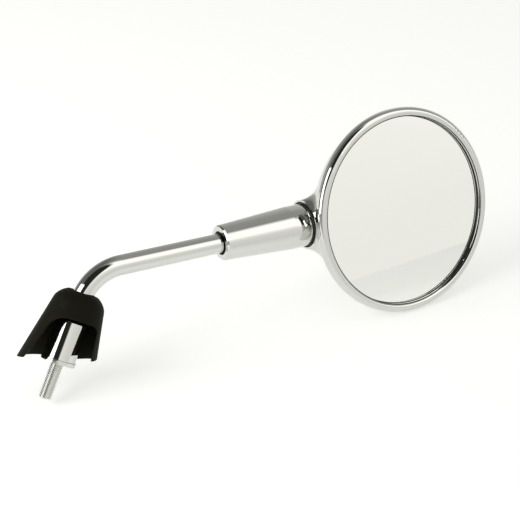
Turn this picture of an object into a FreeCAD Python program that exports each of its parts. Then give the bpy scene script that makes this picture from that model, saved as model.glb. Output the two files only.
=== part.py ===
import FreeCAD, Part
import math
import os
import re
import Sketcher

# Scooter mirror: a bent chrome arm on a threaded stem, a rubber boot over the
# stem, a tapered ferrule with a ball end, and a round mirror head that turns on
# that ball. Millimetres. The origin is on the stud's axis at the underside of the
# flange, +Z runs up the stem, the arm bends towards +X and the glass faces -Y.

SIZES = {
    # threaded stem
    "stud_dia": 8.0,
    "stud_length": 22.0,
    "stud_chamfer": 1.0,
    "flange_dia": 20.8,
    "flange_thick": 2.6,
    "flange_chamfer": 0.3,
    "stem_base_dia": 19.8,
    "stem_top_dia": 19.2,
    "stem_shoulder": 1.5,
    "stem_top_height": 27.0,
    "spigot_length": 10.0,
    # bent arm, measured up the stem and then along the arm from the bend's corner
    "tube_dia": 12.5,
    "tube_wall": 1.5,
    "corner_height": 56.6,
    "bend_radius": 32.0,
    "bend_angle": 60.0,
    "fit_clearance": 0.05,
    # ferrule
    "ferrule_start": 86.0,
    "ferrule_small_dia": 22.6,
    "ferrule_chamfer": 0.9,
    "ferrule_bore_dia": 15.2,
    "ferrule_band": 8.5,
    "ball_station": 143.5,
    "ball_dia": 28.0,
    "ball_wall": 16.0,
    "bush_recess": 2.5,
    "bush_length": 11.0,
    "grub_dia": 5.0,
    "grub_sink": 0.4,
    "plug_length": 15.0,
    "plug_head_thick": 6.0,
    # clamp inside the ball joint
    "bolt_dia": 5.0,
    "bolt_tail": 1.7,
    "bolt_grip": 9.0,
    "slip_gap": 0.3,
    "liner_thick": 1.0,
    "liner_inset": 0.7,
    "socket_wall": 2.0,
    "tilt_room": 14.5,
    "mouth_offset": 4.0,
    "cup_thick": 2.0,
    "cup_dia": 20.6,
    "cup_hole_dia": 12.6,
    "seat_dia": 17.0,
    "seat_thick": 2.4,
    "disc_count": 4,
    "disc_dia": 13.0,
    "disc_thick": 0.8,
    "disc_rise": 0.5,
    "nut_across_flats": 8.0,
    "nut_height": 5.0,
    # mirror head
    "head_setback": 20.0,
    "dome_lap": 0.2,
    "dome_depth": 38.6,
    "shell_wall": 2.2,
    "neck_dia": 32.4,
    "neck_wall": 2.0,
    "neck_length": 50.0,
    "neck_blend": 16.0,
    "glass_dia": 126.4,
    "glass_thick": 2.5,
    "glass_curve": 1200.0,
    "glass_play": 0.15,
    "gasket_lip": 0.7,
    "gasket_cover": 1.5,
    "gasket_skin": 0.7,
    "bezel_edge_flat": 0.4,
    "bezel_edge_round": 3.2,
    "bezel_lip_thick": 2.4,
    "bezel_lip_cover": 1.4,
    "bezel_lip_round": 2.2,
    "bezel_skirt": 1.6,
    "bezel_gap": 0.2,
    "foam_inset": 8.4,
    "foam_depth": 2.0,
    "foam_gap": 0.1,
    # rubber boot
    "boot_facing": -27.6,
    "boot_height": 43.6,
    "boot_top_dia": 17.6,
    "boot_bore_dia": 14.6,
    "boot_collar": 3.0,
    "boot_shoulder_height": 37.0,
    "boot_shoulder_dia": 30.8,
    "boot_hem_depth": 12.0,
    "boot_hem_dia": 50.4,
    "boot_wall": 2.3,
    "boot_lip_round": 1.6,
    "boot_dome_radius": 13.0,
    "boot_shoulder_round": 5.0,
    "base_tip_out": 24.6,
    "base_tip_drop": 4.6,
    "base_mid_out": 3.0,
    "base_mid_rise": 1.1,
    "base_arc_radius": 75.0,
    "base_heel_out": 17.0,
    "base_heel_rise": 7.6,
    "base_heel_radius": 7.0,
    "arch_height": 27.6,
    "arch_left_foot": 21.6,
    "arch_left_side": 12.0,
    "arch_left_radius": 12.0,
    "arch_right_foot": 21.0,
    "arch_right_side": 16.2,
    "arch_right_radius": 4.5,
}

doc = FreeCAD.newDocument("scooter_mirror")
sheet = doc.addObject("Spreadsheet::Sheet", "Sizes")
for row, (alias, size) in enumerate(SIZES.items(), start=1):
    sheet.set("A%d" % row, alias)
    sheet.set("B%d" % row, str(size))
    sheet.setAlias("B%d" % row, alias)
doc.recompute()

X_AXIS = FreeCAD.Vector(1, 0, 0)
Y_AXIS = FreeCAD.Vector(0, 1, 0)
Z_AXIS = FreeCAD.Vector(0, 0, 1)
WORD = re.compile(r"[a-z_]+")

# Places and sizes that follow from the sheet, as expressions
BEND_RUN = "bend_radius * tan(bend_angle / 2 * 1 deg)"
BEND_START = "corner_height - " + BEND_RUN
TUBE_BORE = "tube_dia / 2 - tube_wall"
BORE_END = "ball_station + ball_dia / 2 - ball_wall"
TUBE_END = BORE_END + " - plug_head_thick"
LINER_IN = "ball_dia / 2 + slip_gap"
LINER_OUT = LINER_IN + " + liner_thick"
SOCKET_IN = LINER_OUT + " + slip_gap"
SOCKET_OUT = SOCKET_IN + " + socket_wall"
CUP_IN = SOCKET_OUT + " + slip_gap"
CUP_OUT = CUP_IN + " + cup_thick"
SEAT_IN = CUP_OUT + " + slip_gap"
SEAT_TOP = SEAT_IN + " + seat_thick"
DISC_STEP = "(disc_rise + disc_thick)"
NUT_START = "ball_station + %s + disc_count * %s" % (SEAT_TOP, DISC_STEP)
BOLT_HOLE = "bolt_dia / 2 + fit_clearance"
GASKET_EDGE = "glass_dia / 2 + gasket_skin"
GLASS_BACK = "gasket_lip + fit_clearance"
GLASS_FRONT = GLASS_BACK + " + glass_thick"
GASKET_FRONT = GLASS_FRONT + " + glass_play + gasket_lip"
GLASS_SAG = "glass_curve - sqrt(glass_curve ^ 2 - glass_dia ^ 2 / 4)"
BEZEL_BORE = GASKET_EDGE + " + bezel_gap"
BEZEL_RIM = BEZEL_BORE + " + bezel_edge_flat + bezel_edge_round"
DOME_RADIUS = BEZEL_BORE + " + dome_lap"
HEAD_STATION = "(ball_station + mouth_offset + %s)" % DOME_RADIUS


def bound(text):
    """The expression with each size written as a cell of the sheet."""
    return WORD.sub(lambda word: "Sizes." + word[0] if word[0] in SIZES else word[0], text)


def value(text):
    """The number that an expression gives now."""
    result = sheet.evalExpression(bound(text))
    return float(getattr(result, "Value", result))


def bind(thing, **sizes):
    for name, text in sizes.items():
        thing.setExpression(name, bound(text))
    return thing


def on_stem(thing, height):
    thing.setExpression("Placement.Base.z", bound(height))
    return thing


def on_arm(thing, station):
    """Lay the thing's own Z along the arm, with its origin at a station there."""
    thing.Placement = FreeCAD.Placement(FreeCAD.Vector(), FreeCAD.Rotation(Y_AXIS, value("bend_angle")))
    bind(thing, **{
        "Placement.Rotation.Angle": "bend_angle * 1 deg",
        "Placement.Base.x": "(%s) * sin(bend_angle * 1 deg)" % station,
        "Placement.Base.z": "corner_height + (%s) * cos(bend_angle * 1 deg)" % station,
    })
    return thing


def on_head(thing, depth="0", turn=-90):
    """Lay the thing's own Z straight back from the glass, from the shell's edge plane."""
    thing.Placement = FreeCAD.Placement(FreeCAD.Vector(), FreeCAD.Rotation(X_AXIS, turn))
    bind(thing, **{
        "Placement.Base.x": HEAD_STATION + " * sin(bend_angle * 1 deg)",
        "Placement.Base.y": "(%s) - head_setback" % depth,
        "Placement.Base.z": "corner_height + %s * cos(bend_angle * 1 deg)" % HEAD_STATION,
    })
    return thing


def solid(kind, name, **sizes):
    return bind(doc.addObject("Part::" + kind, name), **sizes)


def cut(label, base, *tools):
    result = doc.addObject("Part::Cut", label)
    result.Base = base
    result.Tool = tools[0] if len(tools) == 1 else fuse(label + "_tools", *tools)
    return result


def fuse(label, *shapes):
    result = doc.addObject("Part::MultiFuse", label)
    result.Shapes = list(shapes)
    return result


def common(label, *shapes):
    result = doc.addObject("Part::MultiCommon", label)
    result.Shapes = list(shapes)
    return result


def short_arc(start, end, radius, side):
    """The shorter arc between two points; side 1 bulges to the left of the way it runs."""
    chord = end - start
    left = FreeCAD.Vector(-chord.y, chord.x, 0).normalize()
    centre = (start + end) / 2 - left * side * math.sqrt(radius ** 2 - (chord.Length / 2) ** 2)
    first, last = (end, start) if side == 1 else (start, end)
    begin = math.atan2(first.y - centre.y, first.x - centre.x)
    finish = math.atan2(last.y - centre.y, last.x - centre.x)
    if finish < begin:
        finish += 2 * math.pi
    return Part.ArcOfCircle(Part.Circle(centre, Z_AXIS, radius), begin, finish)


def outline(body, corners):
    """A closed sketch on the body's XZ plane. A corner is (x, y) in expressions, and
    (x, y, radius, side) where an arc leads on to the next corner."""
    sketch = body.newObject("Sketcher::SketchObject", body.Name + "_outline")
    plane = [item for item in body.Origin.OriginFeatures if item.Role == "XZ_Plane"][0]
    sketch.AttachmentSupport = (plane, [""])
    sketch.MapMode = "FlatFace"
    points = [FreeCAD.Vector(value(corner[0]), value(corner[1]), 0) for corner in corners]
    heads, tails = [], []
    for index, corner in enumerate(corners):
        start, end = points[index], points[(index + 1) % len(points)]
        if len(corner) == 4:
            edge = sketch.addGeometry(short_arc(start, end, value(corner[2]), corner[3]))
            radius = sketch.addConstraint(Sketcher.Constraint("Radius", edge, value(corner[2])))
            sketch.setExpression("Constraints[%d]" % radius, bound(corner[2]))
        else:
            edge = sketch.addGeometry(Part.LineSegment(start, end))
        forward = (sketch.Geometry[edge].StartPoint - start).Length < 1e-6
        heads.append((edge, 1 if forward else 2))
        tails.append((edge, 2 if forward else 1))
    for index, corner in enumerate(corners):
        sketch.addConstraint(Sketcher.Constraint("Coincident", *tails[index - 1], *heads[index]))
        for kind, text in (("DistanceX", corner[0]), ("DistanceY", corner[1])):
            place = Sketcher.Constraint(kind, -1, 1, *heads[index], value(text))
            sketch.setExpression("Constraints[%d]" % sketch.addConstraint(place), bound(text))
    return sketch


def turned(label, corners):
    """A body turned about its own Z from an outline of (radius, height)."""
    body = doc.addObject("PartDesign::Body", label)
    sketch = outline(body, corners)
    turn = body.newObject("PartDesign::Revolution", label + "_turn")
    turn.Profile = sketch
    turn.ReferenceAxis = (sketch, ["V_Axis"])
    turn.Angle = 360.0
    doc.recompute()
    return body


def padded(label, corners, length, both_ways):
    """A body padded towards -Y from an outline of (x, z), or both ways from it."""
    body = doc.addObject("PartDesign::Body", label)
    sketch = outline(body, corners)
    pad = body.newObject("PartDesign::Pad", label + "_pad")
    pad.Profile = sketch
    pad.SideType = "Symmetric" if both_ways else "One side"
    bind(pad, Length=length)
    doc.recompute()
    return body


def rounded(body, radius, choose):
    """Round the edges of a body that the test picks by their first point."""
    base = body.Tip
    names = []
    for index, edge in enumerate(base.Shape.Edges, start=1):
        if not edge.Degenerated and choose(edge.valueAt(edge.FirstParameter)):
            names.append("Edge%d" % index)
    fillet = body.newObject("PartDesign::Fillet", body.Name + "_round_" + radius)
    fillet.Base = (base, names)
    bind(fillet, Radius=radius)
    doc.recompute()
    return body


def near(text, number, slack=0.01):
    return abs(value(text) - number) < slack


def on_rim(radius, height):
    """A test for points on a circle about a turned body's own axis."""
    return lambda spot: near(height, spot.z) and near(radius, math.hypot(spot.x, spot.y))


def mounting_stem():
    """Stud, flange, tapered stem and the spigot that carries the tube, turned from one bar."""
    return turned("mounting_stem", [
        ("0", "-stud_length"),
        ("stud_dia / 2 - stud_chamfer", "-stud_length"),
        ("stud_dia / 2", "-stud_length + stud_chamfer"),
        ("stud_dia / 2", "0"),
        ("flange_dia / 2 - flange_chamfer", "0"),
        ("flange_dia / 2", "flange_chamfer"),
        ("flange_dia / 2", "flange_thick - flange_chamfer"),
        ("flange_dia / 2 - flange_chamfer", "flange_thick"),
        ("stem_base_dia / 2", "flange_thick"),
        ("stem_top_dia / 2", "stem_top_height - stem_shoulder"),
        ("tube_dia / 2", "stem_top_height"),
        (TUBE_BORE + " - fit_clearance", "stem_top_height"),
        (TUBE_BORE + " - fit_clearance", "stem_top_height + spigot_length"),
        ("0", "stem_top_height + spigot_length"),
    ])


def bent_bar(label, radius):
    """A round bar up the stem, round the bend and along the arm, open to the tube's ends."""
    lower = solid("Cylinder", label + "_lower", Radius=radius, Height=BEND_START + " - stem_top_height")
    bend = solid("Torus", label + "_bend", Radius1="bend_radius", Radius2=radius, Angle3="bend_angle")
    upper_run = "%s - %s" % (TUBE_END, BEND_RUN)
    upper = solid("Cylinder", label + "_upper", Radius=radius, Height=upper_run)
    turn = FreeCAD.Rotation(-X_AXIS, Z_AXIS, Y_AXIS, "XYZ")
    bend.Placement = FreeCAD.Placement(FreeCAD.Vector(), turn)
    bind(bend, **{"Placement.Base.x": "bend_radius", "Placement.Base.z": BEND_START})
    return fuse(label, on_stem(lower, "stem_top_height"), bend, on_arm(upper, BEND_RUN))


def arm_tube():
    return cut("arm_tube", bent_bar("arm_outside", "tube_dia / 2"), bent_bar("arm_bore", TUBE_BORE))


def grub_bar(label, radius, start, length):
    """A bar across the arm towards the back of the mirror, through the middle of the bush."""
    bar = solid("Cylinder", label, Radius=radius, Height=length)
    bar.Placement = FreeCAD.Placement(FreeCAD.Vector(), FreeCAD.Rotation(X_AXIS, -90))
    station = "(ferrule_start + bush_recess + bush_length / 2)"
    return bind(bar, **{
        "Placement.Base.x": station + " * sin(bend_angle * 1 deg)",
        "Placement.Base.y": start,
        "Placement.Base.z": "corner_height + %s * cos(bend_angle * 1 deg)" % station,
    })


def ferrule():
    """Tapered sleeve with a plain band and a ball end, bored from its small end."""
    band_start = "ball_station - ferrule_band"
    body = turned("ferrule_body", [
        ("0", "ferrule_start"),
        ("ferrule_small_dia / 2 - ferrule_chamfer", "ferrule_start"),
        ("ferrule_small_dia / 2", "ferrule_start + ferrule_chamfer"),
        ("ball_dia / 2", band_start),
        ("ball_dia / 2", "ball_station", "ball_dia / 2", -1),
        ("0", "ball_station + ball_dia / 2"),
    ])
    bore_depth = BORE_END + " - ferrule_start"
    bore = solid("Cylinder", "ferrule_bore", Radius="ferrule_bore_dia / 2", Height=bore_depth)
    hole = solid("Cylinder", "ferrule_bolt_hole", Radius=BOLT_HOLE, Height="ball_dia")
    grub = grub_bar("ferrule_grub_hole", "grub_dia / 2 + fit_clearance", "0", "ferrule_small_dia")
    return cut("ferrule", on_arm(body, "0"), on_arm(bore, "ferrule_start"), on_arm(hole, BORE_END), grub)


def ferrule_bush():
    fit = "ferrule_bore_dia / 2 - fit_clearance"
    outside = solid("Cylinder", "bush_outside", Radius=fit, Height="bush_length")
    inside = solid("Cylinder", "bush_inside", Radius="tube_dia / 2 + fit_clearance", Height="bush_length")
    grub = grub_bar("bush_grub_hole", "grub_dia / 2 + fit_clearance", "0", "ferrule_bore_dia")
    start = "ferrule_start + bush_recess"
    return cut("ferrule_bush", on_arm(outside, start), on_arm(inside, start), grub)


def grub_screw():
    tip = "tube_dia / 2 + fit_clearance"
    return grub_bar("grub_screw", "grub_dia / 2", tip, "ferrule_small_dia / 2 - grub_sink - (%s)" % tip)


def arm_plug():
    """Plug in the tube's end, with a head that seats the ferrule and a hole for the tie bolt."""
    shank = solid("Cylinder", "plug_shank", Radius=TUBE_BORE + " - fit_clearance", Height="plug_length")
    head_radius = "ferrule_bore_dia / 2 - fit_clearance"
    head = solid("Cylinder", "plug_head", Radius=head_radius, Height="plug_head_thick")
    hole = solid("Cylinder", "plug_hole", Radius=BOLT_HOLE, Height="plug_head_thick + bolt_grip")
    whole = fuse("plug_blank", on_arm(shank, TUBE_END + " - plug_length"), on_arm(head, TUBE_END))
    return cut("arm_plug", whole, on_arm(hole, TUBE_END + " - bolt_grip"))


def tie_bolt():
    start = TUBE_END + " - bolt_grip"
    length = "%s + nut_height + bolt_tail - (%s)" % (NUT_START, start)
    return on_arm(solid("Cylinder", "tie_bolt", Radius="bolt_dia / 2", Height=length), start)


def ball_shell(label, inside, outside, mask, hole_radius):
    """A spherical shell about the ball's centre, kept inside a mask and open for the bolt."""
    outer = on_arm(solid("Sphere", label + "_outer", Radius=outside), "ball_station")
    inner = on_arm(solid("Sphere", label + "_inner", Radius=inside), "ball_station")
    hole = on_arm(solid("Cylinder", label + "_hole", Radius=hole_radius, Height=outside), "ball_station")
    return cut(label, common(label + "_cap", outer, mask), inner, hole)


def ball_liner():
    edge = "mouth_offset + liner_inset"
    mask = solid("Cylinder", "liner_mask", Radius=LINER_OUT, Height=LINER_OUT)
    return ball_shell("ball_liner", LINER_IN, LINER_OUT, on_arm(mask, "ball_station + " + edge),
                      BOLT_HOLE + " + slip_gap")


def thrust_cup():
    mask = on_arm(solid("Cylinder", "cup_mask", Radius="cup_dia / 2", Height=CUP_OUT), "ball_station")
    return ball_shell("thrust_cup", CUP_IN, CUP_OUT, mask, "cup_hole_dia / 2")


def spring_seat():
    """Washer with a hollow round underside that rides on the thrust cup."""
    disc = solid("Cylinder", "seat_disc", Radius="seat_dia / 2", Height=SEAT_TOP)
    ball = solid("Sphere", "seat_ball", Radius=SEAT_IN)
    hole = solid("Cylinder", "seat_hole", Radius=BOLT_HOLE, Height=SEAT_TOP)
    return cut("spring_seat", *[on_arm(item, "ball_station") for item in (disc, ball, hole)])


def disc_springs():
    """Conical spring washers, set in turn face up and face down."""
    discs = []
    for index in range(int(value("disc_count"))):
        inner, outer = ("disc_rise", "0") if index % 2 == 0 else ("0", "disc_rise")
        disc = turned("disc_spring_%d" % (index + 1), [
            (BOLT_HOLE, inner),
            ("disc_dia / 2", outer),
            ("disc_dia / 2", outer + " + disc_thick"),
            (BOLT_HOLE, inner + " + disc_thick"),
        ])
        discs.append(on_arm(disc, "ball_station + %s + %d * %s" % (SEAT_TOP, index, DISC_STEP)))
    return discs


def lock_nut():
    corner = "nut_across_flats / 2 / cos(30 deg)"
    block = solid("Prism", "nut_block", Circumradius=corner, Height="nut_height")
    block.Polygon = 6
    hole = solid("Cylinder", "nut_hole", Radius=BOLT_HOLE, Height="nut_height")
    return cut("lock_nut", on_arm(block, NUT_START), on_arm(hole, NUT_START))


def half_ellipsoid(label, radius, depth):
    bowl = solid("Ellipsoid", label, Radius1=depth, Radius2=radius, Radius3=radius)
    bowl.Angle1 = 0.0
    return on_head(bowl)


def mirror_shell():
    """Bowl with a neck blended into its side, hollow, with a ball socket in the neck."""
    bowl = half_ellipsoid("bowl_outside", DOME_RADIUS, "dome_depth")
    neck = solid("Cylinder", "neck_outside", Radius="neck_dia / 2", Height="neck_length")
    sharp = fuse("shell_sharp", bowl, on_arm(neck, "ball_station + mouth_offset"))
    doc.recompute()
    blended = doc.addObject("Part::Fillet", "shell_blended")
    blended.Base = sharp
    radius = value("neck_blend")
    blended.Edges = [(index, radius, radius) for index in neck_seam(sharp.Shape)]
    hollow = half_ellipsoid("bowl_inside", DOME_RADIUS + " - shell_wall", "dome_depth - shell_wall")
    throat = solid("Cylinder", "neck_throat", Radius="neck_dia / 2 - neck_wall", Height="neck_length")
    stop = on_arm(solid("Sphere", "socket_back", Radius=SOCKET_OUT), "ball_station")
    socket = on_arm(solid("Sphere", "socket_ball", Radius=SOCKET_IN), "ball_station")
    bolt_room = "bolt_dia / 2 + (%s) * sin(tilt_room * 1 deg) + slip_gap" % SOCKET_OUT
    hole = on_arm(solid("Cylinder", "socket_hole", Radius=bolt_room, Height="neck_length"), "ball_station")
    rim_room = solid("Cylinder", "rim_room", Radius="glass_dia", Height="glass_dia")
    rim_core = solid("Cylinder", "rim_core", Radius=BEZEL_BORE, Height="glass_dia")
    rim_depth = "bezel_skirt + slip_gap - glass_dia"
    rim = cut("rim_cut", on_head(rim_room, rim_depth), on_head(rim_core, rim_depth))
    front = on_head(solid("Cylinder", "front_cut", Radius="glass_dia", Height="glass_dia"), "-glass_dia")
    return cut("mirror_shell", blended, hollow, cut("neck_room", on_arm(throat, "ball_station"), stop),
               socket, hole, rim, front)


def neck_seam(shape):
    """The edges where the neck's side meets the bowl."""
    angle = math.radians(value("bend_angle"))
    along = FreeCAD.Vector(math.sin(angle), 0, math.cos(angle))
    corner = Z_AXIS * value("corner_height")
    mouth = value("ball_station + mouth_offset")
    found = []
    for index, edge in enumerate(shape.Edges, start=1):
        if edge.Degenerated:
            continue
        reach = edge.LastParameter - edge.FirstParameter
        spots = [edge.valueAt(edge.FirstParameter + share * reach) - corner for share in (0.2, 0.5, 0.8)]
        runs = [spot.dot(along) for spot in spots]
        radii = [(spot - along * run).Length for spot, run in zip(spots, runs)]
        on_neck = all(near("neck_dia / 2", radius, 0.05) for radius in radii)
        straight = near("0", (spots[0] - 2 * spots[1] + spots[2]).Length)
        if on_neck and not straight and min(runs) > mouth + 0.05:
            found.append(index)
    return found


def bezel_ring():
    """Rolled ring over the shell's edge, with a lip that holds the gasket and the glass."""
    front = GASKET_FRONT + " + bezel_gap"
    face = "-(%s) - bezel_lip_thick" % front
    body = turned("bezel_ring", [
        (BEZEL_BORE, "bezel_skirt"),
        (BEZEL_BORE, "-(%s)" % front),
        ("glass_dia / 2 - bezel_lip_cover", "-(%s)" % front),
        ("glass_dia / 2 - bezel_lip_cover", face),
        (BEZEL_RIM, face),
        (BEZEL_RIM, "bezel_skirt"),
    ])
    front_edge = on_rim(BEZEL_RIM, face)
    back_edge = on_rim(BEZEL_RIM, "bezel_skirt")
    rounded(body, "bezel_lip_round", on_rim("glass_dia / 2 - bezel_lip_cover", face))
    rounded(body, "bezel_edge_round", lambda spot: front_edge(spot) or back_edge(spot))
    return on_head(body)


def glass_gasket():
    """Channel of black rubber round the glass's edge, closed against the shell."""
    return on_head(turned("glass_gasket", [
        ("glass_dia / 2 - gasket_cover", "0"),
        (GASKET_EDGE, "0"),
        (GASKET_EDGE, "-(%s)" % GASKET_FRONT),
        ("glass_dia / 2 - gasket_cover", "-(%s)" % GASKET_FRONT),
        ("glass_dia / 2 - gasket_cover", "-(%s) - glass_play" % GLASS_FRONT),
        ("glass_dia / 2 + fit_clearance", "-(%s) - glass_play" % GLASS_FRONT),
        ("glass_dia / 2 + fit_clearance", "-gasket_lip"),
        ("glass_dia / 2 - gasket_cover", "-gasket_lip"),
    ]))


def glass_ball(label, inset):
    """A ball about the centre of the glass's curve, smaller than its front face by an inset,
    and turned so that its poles lie away from the glass."""
    ball = solid("Sphere", label, Radius="glass_curve - (%s)" % inset)
    return on_head(ball, "glass_curve - (%s) - (%s)" % (GLASS_FRONT, GLASS_SAG), 0)


def glass_disc(label, radius, back):
    """A round blank from well in front of the glass to a depth behind the shell's edge plane."""
    disc = solid("Cylinder", label, Radius=radius, Height="glass_dia / 2")
    return on_head(disc, "(%s) - glass_dia / 2" % back)


def mirror_glass():
    """Slightly convex glass of even thickness, silvered on its back."""
    disc = glass_disc("glass_cylinder", "glass_dia / 2", "0")
    blank = common("glass_blank", disc, glass_ball("glass_face", "0"))
    return cut("mirror_glass", blank, glass_ball("glass_hollow", "glass_thick"))


def foam_pad():
    """Disc of foam stuck to the glass's back."""
    disc = glass_disc("foam_cylinder", "glass_dia / 2 - foam_inset", "foam_depth")
    return common("foam_pad", disc, glass_ball("foam_face", "glass_thick + foam_gap"))


def rubber_boot():
    """Flared boot on the stem, cut on the slant below and open in an arch at its front."""
    inner_shoulder = "boot_shoulder_dia / 2 - boot_wall"
    body = turned("boot_blank", [
        ("boot_bore_dia / 2", "boot_height"),
        ("boot_top_dia / 2", "boot_height", "boot_dome_radius", 1),
        ("boot_shoulder_dia / 2", "boot_shoulder_height"),
        ("boot_hem_dia / 2", "-boot_hem_depth"),
        ("boot_hem_dia / 2 - boot_wall", "-boot_hem_depth"),
        (inner_shoulder, "boot_shoulder_height - boot_wall / 2"),
        ("boot_bore_dia / 2", "boot_height - boot_collar"),
    ])
    rounded(body, "boot_lip_round", on_rim("boot_top_dia / 2", "boot_height"))
    rounded(body, "boot_shoulder_round", on_rim("boot_shoulder_dia / 2", "boot_shoulder_height"))
    below = "-2 * boot_hem_depth"
    base = padded("boot_base_cut", [
        ("-boot_hem_dia", "-base_tip_drop"),
        ("-base_tip_out", "-base_tip_drop", "base_arc_radius", 1),
        ("base_mid_out", "base_mid_rise"),
        ("base_heel_out", "base_heel_rise", "base_heel_radius", -1),
        ("base_heel_out + base_heel_radius", "base_heel_rise + base_heel_radius"),
        ("boot_hem_dia", "base_heel_rise + base_heel_radius"),
        ("boot_hem_dia", below),
        ("-boot_hem_dia", below),
    ], "2 * boot_hem_dia", True)
    left_top = "arch_height - arch_left_radius"
    right_top = "arch_height - arch_right_radius"
    arch = padded("boot_arch_cut", [
        ("-arch_left_foot", "-boot_hem_depth"),
        ("-arch_left_side", left_top, "arch_left_radius", 1),
        ("-arch_left_side + arch_left_radius", "arch_height"),
        ("arch_right_side - arch_right_radius", "arch_height", "arch_right_radius", 1),
        ("arch_right_side", right_top),
        ("arch_right_foot", "-boot_hem_depth"),
    ], "boot_hem_dia", False)
    for cutter in (base, arch):
        bind(cutter, **{"Placement.Rotation.Angle": "boot_facing * 1 deg"})
    return cut("rubber_boot", body, base, arch)


nodes = [
    mounting_stem(),
    arm_tube(),
    rubber_boot(),
    ferrule(),
    ferrule_bush(),
    grub_screw(),
    arm_plug(),
    tie_bolt(),
    ball_liner(),
    thrust_cup(),
    spring_seat(),
    *disc_springs(),
    lock_nut(),
    mirror_shell(),
    bezel_ring(),
    glass_gasket(),
    mirror_glass(),
    foam_pad(),
]
doc.recompute()

for item in doc.Objects:
    if "Invalid" in item.State or "Error" in item.State:
        raise RuntimeError("%s did not build: %s" % (item.Label, item.State))
for node in nodes:
    if node.Shape.isNull() or not node.Shape.isValid():
        raise RuntimeError(node.Label + " has no valid shape")

os.makedirs("parts", exist_ok=True)
for node in nodes:
    node.Shape.exportStep(os.path.join("parts", node.Label + ".step"))
    box = node.Shape.BoundBox
    print("%-15s solids %d volume %9.1f  x %.1f..%.1f  y %.1f..%.1f  z %.1f..%.1f" % (
        node.Label, len(node.Shape.Solids), node.Shape.Volume,
        box.XMin, box.XMax, box.YMin, box.YMax, box.ZMin, box.ZMax))
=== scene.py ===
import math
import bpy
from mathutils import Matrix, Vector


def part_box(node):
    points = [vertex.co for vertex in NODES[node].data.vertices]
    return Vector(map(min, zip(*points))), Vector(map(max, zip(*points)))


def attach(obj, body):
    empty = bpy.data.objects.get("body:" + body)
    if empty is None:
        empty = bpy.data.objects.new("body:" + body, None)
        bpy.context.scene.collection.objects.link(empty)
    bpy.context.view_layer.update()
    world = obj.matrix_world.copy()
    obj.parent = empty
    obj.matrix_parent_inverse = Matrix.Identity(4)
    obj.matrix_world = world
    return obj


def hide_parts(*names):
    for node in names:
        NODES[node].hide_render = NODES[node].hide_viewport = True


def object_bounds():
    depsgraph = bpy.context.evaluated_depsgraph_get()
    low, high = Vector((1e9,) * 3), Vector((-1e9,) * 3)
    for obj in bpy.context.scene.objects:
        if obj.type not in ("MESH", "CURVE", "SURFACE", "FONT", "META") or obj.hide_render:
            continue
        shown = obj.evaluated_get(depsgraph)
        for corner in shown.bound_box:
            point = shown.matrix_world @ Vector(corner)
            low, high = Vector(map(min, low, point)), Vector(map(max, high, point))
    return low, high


bl_info = {
    "name": "Scooter mirror",
    "version": (1, 0, 0),
    "blender": (4, 5, 0),
    "location": "3D View > Sidebar > Mirror",
    "description": "Finishes and fine pieces of a round scooter mirror on a bent chrome arm",
    "category": "Object",
}

import bmesh
import bpy
from mathutils import Matrix, Vector

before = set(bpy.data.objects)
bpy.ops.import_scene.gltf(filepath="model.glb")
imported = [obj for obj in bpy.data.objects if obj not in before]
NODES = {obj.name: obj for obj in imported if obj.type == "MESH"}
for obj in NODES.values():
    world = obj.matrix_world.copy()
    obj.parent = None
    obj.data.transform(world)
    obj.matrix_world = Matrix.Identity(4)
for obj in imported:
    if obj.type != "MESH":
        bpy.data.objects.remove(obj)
CAD_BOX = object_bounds()
MM = 0.001
MERGE_DISTANCE = 1e-6

# The arm's own axis runs from the bend's corner up to the ball joint, and the
# head's axis straight back from the glass.
BEND_ANGLE = math.radians(60.0)
BEND_CORNER = Vector((0.0, 0.0, 56.6)) * MM
HEAD_STATION = 211.8 * MM
HEAD_SETBACK = 20.0 * MM
ARM_FRAME = Matrix.Translation(BEND_CORNER) @ Matrix.Rotation(BEND_ANGLE, 4, "Y")
HEAD_CENTRE = ARM_FRAME @ Vector((0.0, -HEAD_SETBACK, HEAD_STATION))
HEAD_FRAME = Matrix.Translation(HEAD_CENTRE) @ Matrix.Rotation(math.radians(-90.0), 4, "X")

# The camera's axes and place in the part's frame, and the floor that the mirror
# lies on, which the camera sees from a little above.
CAMERA_RIGHT = Vector((0.7994, -0.4950, 0.3407))
CAMERA_TOWARD = Vector((-0.5149, -0.8565, -0.0361))
CAMERA_PLACE = Vector((-257.4, -604.5, 73.3)) * MM
CAMERA_LENS = 76.66
CAMERA_SENSOR = 36.0
FLOOR_PITCH = math.radians(28.7)


def linear(hex_code):
    """An sRGB hex colour as linear red, green and blue."""
    parts = [int(hex_code[place:place + 2], 16) / 255 for place in (1, 3, 5)]
    return tuple(part / 12.92 if part <= 0.04045 else ((part + 0.055) / 1.055) ** 2.4
                 for part in parts)


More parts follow.
